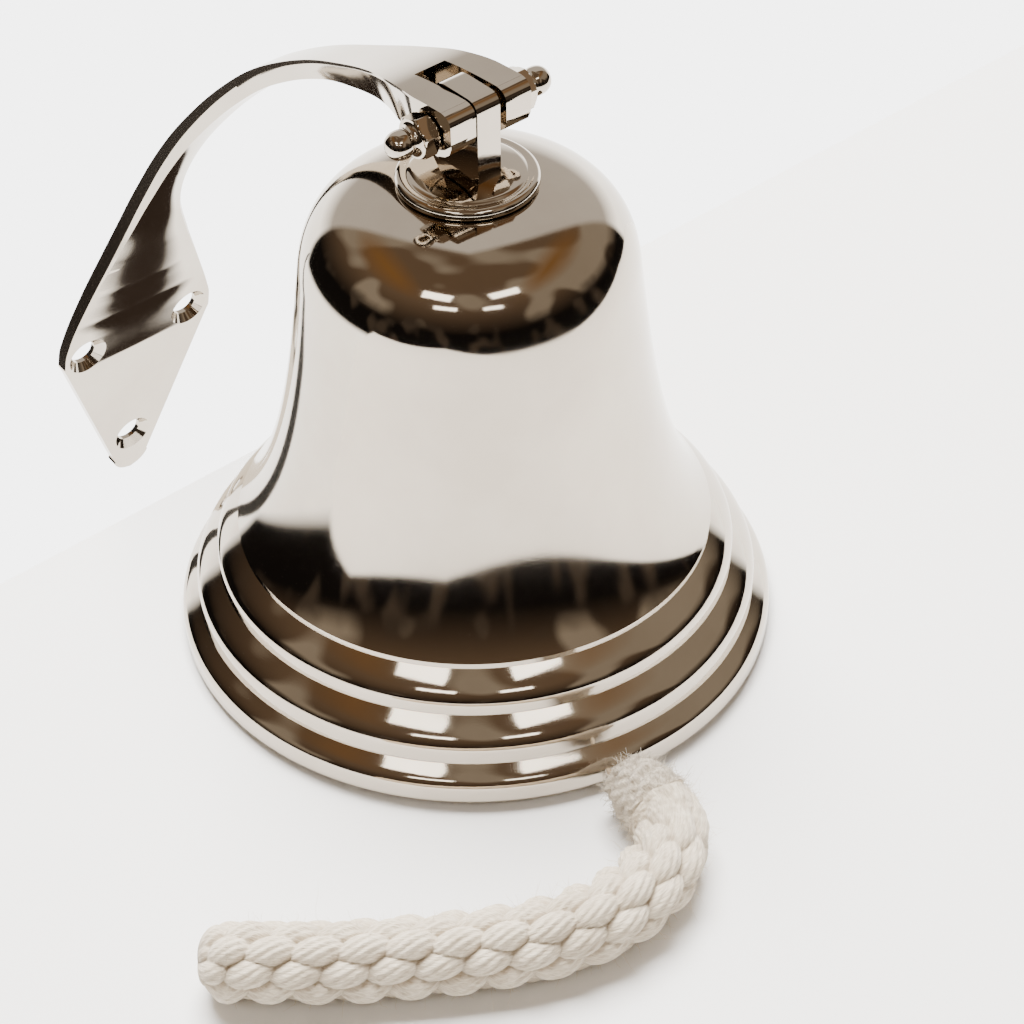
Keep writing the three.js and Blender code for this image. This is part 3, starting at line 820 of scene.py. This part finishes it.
def makeCapNut(name, side, p):
    # round the axis the radius is the lesser of the hexagon's edge and a cone that chamfers its
    # corners; past the hexagon it narrows to a neck and closes in a dome
    a = np.linspace(0, 2 * np.pi, 180, endpoint=False)
    corner = (a - p["turn"] + np.pi / 6) % (np.pi / 3) - np.pi / 6
    hexagon = p["flats"] / 2 / np.cos(corner)
    rows, start, high, tip = [(p["seat"], np.zeros_like(a))], p["seat"], p["height"], p["tip"]
    for along in np.linspace(0, high, 19):
        nearest = min(along, high - along)
        rows.append((start + along, np.minimum(hexagon, p["flats"] / 2 + 0.02 + nearest * 1.7)))
    rows.append((start + high, np.full_like(a, 3.55)))
    dome = [bezier((3.55, 14.0), (3.3, 14.1), (2.6, 14.4), (2.6, 15.2), 7)[1:],
            bezier((2.6, 15.2), (2.6, 15.6), (2.75, 15.7), (2.9, 16.2), 5)[1:],
            bezier((2.9, 16.2), (3.2, 18.4), (2.3, tip), (0, tip), 22)[1:]]
    rows += [(along, np.full_like(a, radius)) for radius, along in np.concatenate(dome)]
    x = np.array([[along] * len(a) for along, radius in rows])
    radius = np.array([radius for along, radius in rows])
    grid = np.stack([side * x + bracket["aside"], radius * np.cos(a),
                     hanger["pivot"] + radius * np.sin(a)], axis=-1)
    return makePiece(name, [(grid, False, True)], nickel, 26)


nutLeft = makeCapNut("capNutNear", -1, capNut)
nutRight = makeCapNut("capNutFar", 1, capNut)
print("cap nuts ready")

# Inside pieces
# each eye, link or ring: its radius, its wire's radius and its height; ball: radius and height
inside = {"eye": (4.2, 1.3, 92.5), "link": (4.5, 1.1, 86.5), "rodEye": (4.2, 1.3, 80.5),
          "tail": (2.5, 0.9, 11.4), "ring": (3.2, 0.7, 7.6), "rod": 2.0, "ball": (9.5, 24)}
clapperLink = makePiece("clapperLinkRing", [ringTube(*inside["link"], True)], brass, 180)
lanyardRing = makePiece("lanyardRingWire", [ringTube(*inside["ring"], True)], brass, 180)


def makeEyebolt(p):
    piece = makePiece("eyeboltEye", [ringTube(*p["eye"], False)], brass, 180)
    shank = turned([(0, 111.4), (2.0, 111.4), (2.2, 111.1), (2.2, 97), (1.9, 96), (0, 96)], 48)
    trim(piece, [makePiece("shankTool", [shank], brass)], "UNION", 40)
    return piece


def makeClapper(p):
    # eye, rod and tail eye are one forging; the ball is threaded on with a small bore
    piece = makePiece("clapperRodEyes", [ringTube(*p["rodEye"], False)], brass, 180)
    top, foot = p["rodEye"][2] - p["rodEye"][0], p["tail"][2] + p["tail"][0]
    thick = p["rod"]
    upper = bezier((1.5, top + 0.5), (1.6, top - 3), (thick, top - 5), (thick, top - 8), 8)
    lower = bezier((thick, foot + 4), (thick, foot + 2), (1.2, foot), (1.1, foot - 0.4), 8)
    rod = turned(np.concatenate([[(0, top + 0.5)], upper, lower, [(0, foot - 0.4)]]), 48)
    tools = [makePiece("rodTool", [rod], brass), makePiece("tailTool", [ringTube(*p["tail"], False)], brass)]
    trim(piece, tools, "UNION", 40)
    radius, height = p["ball"]
    flat = math.asin(2.3 / radius)
    t = np.linspace(flat, np.pi - flat, 60)
    groove = 0.18 * np.exp(-((t - np.pi / 2) / 0.03) ** 2)
    ball = np.column_stack([(radius - groove) * np.sin(t), height + (radius - groove) * np.cos(t)])
    ball = np.concatenate([ball, ball[:1]])
    return piece, makePiece("clapperBallTurned", [turned(ball, 96)], brass, 30)


def makeCrownFastening():
    washer = turned([(2.5, 104.9), (7.7, 104.9), (8, 104.6), (8, 104), (7.7, 103.7), (2.5, 103.7),
                     (2.5, 104.9)], 72)
    a = np.linspace(0, 2 * np.pi, 180, endpoint=False)
    hexagon = 4 / np.cos(a % (np.pi / 3) - np.pi / 6)
    bore = 2.5 + 0 * a
    sides = [(103.4 - d, np.minimum(hexagon, 4.02 + 1.7 * min(d, 4 - d))) for d in np.linspace(0, 4, 17)]
    rows = [(103.4, bore)] + sides + [(99.4, bore), (103.4, bore)]
    radius, height = np.array([r for h, r in rows]), np.array([[h] * len(a) for h, r in rows])
    nut = np.stack([radius * np.cos(a), radius * np.sin(a), height], axis=-1), False, True
    return makePiece("crownWasherDisc", [washer], brass, 30), makePiece("crownNutHex", [nut], brass, 26)


eyebolt = makeEyebolt(inside)
clapperRod, clapperBall = makeClapper(inside)
crownWasher, crownNut = makeCrownFastening()
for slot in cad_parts["pivot_stud"].material_slots:
    slot.material = brass
print("inside ready")

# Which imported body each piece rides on, what it stands for and its finish
owners = [
    (bellPiece, "bell", "bell_body", "polished_nickel"), (hangerPiece, "bell", "hanger", "polished_nickel"),
    (bracketPiece, "bracket", "wall_bracket", "polished_nickel"),
    (nutLeft, "bracket", "cap_nut_left", "polished_nickel"),
    (nutRight, "bracket", "cap_nut_right", "polished_nickel"),
    (eyebolt, "bell", "eyebolt", "brass"), (crownWasher, "bell", "crown_washer", "brass"),
    (crownNut, "bell", "crown_nut", "brass"), (clapperLink, "link", "clapper_link", "brass"),
    (clapperRod, "clapper", "clapper_rod", "brass"), (clapperBall, "clapper", "clapper_ball", "brass"),
    (lanyardRing, "clapper", "lanyard_ring", "brass"), (leadPiece, "bell", "lead_cord", "cotton_cord"),
    (leadKnot, "bell", "lead_knot", "cotton_cord"), (lanyardPiece, "bell", "lanyard", "cotton_cord"),
    (lanyardEnd, "bell", "lanyard_end_knot", "cotton_cord"),
    (whippingBarrel, "bell", "lanyard_whipping", "whipping_twine"),
    (whippingFibres, "bell", None, "whipping_twine"), (lanyardFluff, "bell", None, "cotton_cord"),
]
for piece, body, node, slot in owners:
    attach(piece, body)
    if node:
        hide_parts(node)


# Stage: a pale table with its edge behind the bell, so that the wall plate hangs clear of it
def makeTable(p):
    material, tree, shader = startMaterial("paleTable")
    shader.inputs["Base Color"].default_value = (0.86, 0.855, 0.845, 1)
    shader.inputs["Roughness"].default_value = 0.55
    left, right, front, back = -p["left"], p["reach"], -p["front"], p["backEdge"]
    corners = ((left, front), (right, front), (right, back), (left, back))
    grid = np.array([[(a, b, restHeight(a, b) - d) for a, b in corners] for d in (0, p["thickness"])])
    grid = capped(grid, grid[0].mean(axis=0), grid[-1].mean(axis=0))
    piece = makePiece("table", [(grid, False, True)], material, 30)


makeTable(table)


# A dark strip beside the bracket, out of sight, that its edge mirrors
flag = {"away": 70, "half": 17, "first": 6, "way": (-0.495, 0.58, -0.647)}


def makeFlag(p):
    # a ribbon carried along the arm's own line, moved away to the side that its edge faces
    material, tree, shader = startMaterial("darkFlag")
    shader.inputs["Base Color"].default_value = (0.01, 0.008, 0.007, 1)
    shader.inputs["Roughness"].default_value = 1
    spine = [(-row[3], row[0], row[1]) for row in bracket["stations"][p["first"]:]] + [(-20, 129, 0)]
    middle = np.array(spine, float) + p["away"] * np.array(p["way"])
    run = np.gradient(middle, axis=0)
    across = np.cross(run, p["way"])
    across *= p["half"] / np.linalg.norm(across, axis=1)[:, None]
    mesh = bpy.data.meshes.new("flag")
    points = np.stack([middle - across, middle + across], axis=1).reshape(-1, 3)
    mesh.from_pydata(place(points).tolist(), [], gridFaces(len(spine), 2).tolist())
    piece = showPiece("flag", mesh, material)
    piece.visible_camera = piece.visible_shadow = piece.visible_diffuse = False


makeFlag(flag)


# Light: a white surround behind and below, a dark room in front with a few lamps in it
surround = {"front": (-0.637, -0.771, 0.0), "white": (4.4, 4.3, 4.1), "ceiling": (1.0, 0.92, 0.83),
            "backdrop": (5.2, 5.2, 5.2), "floor": (0.06, 0.042, 0.032), "floorWay": (0.22, 0.0, -0.975),
            "low": (0.012, 0.01, 0.009), "high": (0.21, 0.14, 0.088),
            "wall": (0.46, 0.38, 0.29), "shelves": (0.09, 0.068, 0.05), "beams": (0.33, 0.165, 0.055)}


def towards(tree, where, way):
    # how far a direction points along a way: 1 along it, 0 across it, -1 against it
    node = tree.nodes.new("ShaderNodeVectorMath")
    node.operation = "DOT_PRODUCT"
    tree.links.new(where, node.inputs[0])
    node.inputs[1].default_value = way
    return node.outputs["Value"]


def makeSurround(p):
    world = bpy.data.worlds.new("surround")
    bpy.context.scene.world = world
    world.use_nodes = True
    tree = world.node_tree
    tree.nodes.clear()
    where = tree.nodes.new("ShaderNodeTexCoord").outputs["Generated"]
    aside = mathNode(tree, "ABSOLUTE", towards(tree, where, (p["front"][1], -p["front"][0], 0)))
    height = towards(tree, where, (0, 0, 1))
    edge = mathNode(tree, "ADD", towards(tree, where, p["front"]), mathNode(tree, "MULTIPLY", aside, 0.55))
    room = mathNode(tree, "MULTIPLY", spread(tree, edge, -0.27, -0.19), spread(tree, height, -0.34, -0.28))
    squat = tree.nodes.new("ShaderNodeMapping")
    tree.links.new(where, squat.inputs["Vector"])
    squat.inputs["Scale"].default_value = (1, 1, 0.5)
    dark = mixColour(tree, spread(tree, height, 0.05, 0.6), p["low"], p["high"])
    patches = noiseNode(tree, squat.outputs[0], 1.9, 1, 0.4)
    patches = mathNode(tree, "MULTIPLY", spread(tree, patches, 0.5, 0.58), spread(tree, height, 0.1, 0.3))
    dark = mixColour(tree, patches, dark, p["wall"])
    shelves = noiseNode(tree, squat.outputs[0], 4.6, 1, 0.4)
    shelves = mathNode(tree, "MULTIPLY", spread(tree, shelves, 0.52, 0.64), spread(tree, height, 0.35, 0.1))
    dark = mixColour(tree, shelves, dark, p["shelves"])
    beams = mathNode(tree, "MULTIPLY", spread(tree, aside, 0.42, 0.6), spread(tree, height, 0.6, 0.8))
    dark = mixColour(tree, beams, dark, p["beams"])
    pale = mixColour(tree, spread(tree, height, 0.02, 0.3), p["white"], p["ceiling"])
    under = towards(tree, where, p["floorWay"])
    pale = mixColour(tree, spread(tree, under, 0.925, 0.945), pale, p["floor"])
    colour = mixColour(tree, room, pale, dark)
    rays = tree.nodes.new("ShaderNodeLightPath")
    colour = mixColour(tree, rays.outputs["Is Camera Ray"], colour, p["backdrop"])
    background = tree.nodes.new("ShaderNodeBackground")
    tree.links.new(colour, background.inputs["Color"])
    tree.links.new(background.outputs[0], tree.nodes.new("ShaderNodeOutputWorld").inputs["Surface"])


def addLight(name, at, target, size, power, colour, mirrored=True):
    data = bpy.data.lights.new(name, "AREA")
    data.shape, data.size, data.size_y, data.energy, data.color = "RECTANGLE", *size, power, colour
    piece = bpy.data.objects.new(name, data)
    piece.location = Vector(place(at))
    piece.visible_glossy = mirrored
    piece.rotation_euler = (Vector(place(target)) - piece.location).to_track_quat("-Z", "Y").to_euler()
    bpy.context.collection.objects.link(piece)


makeSurround(surround)
addLight("overhead", (300, 600, 1600), (0, 0, 0), (1.2, 1.2), 190, (1, 0.985, 0.96), False)
lamps = [("lampLeft", (-1040, -430, 1350), (0.5, 0.24), 2.6),
         ("lampLowLeft", (-880, -560, 800), (0.3, 0.09), 0.6),
         ("lampRight", (-180, -1080, 1400), (0.5, 0.22), 2.4),
         ("lampLowRight", (-420, -980, 820), (0.26, 0.09), 0.5)]
for name, at, size, power in lamps:
    addLight(name, at, (0, 0, 100), size, power, (1, 0.97, 0.9))
print("stage ready")
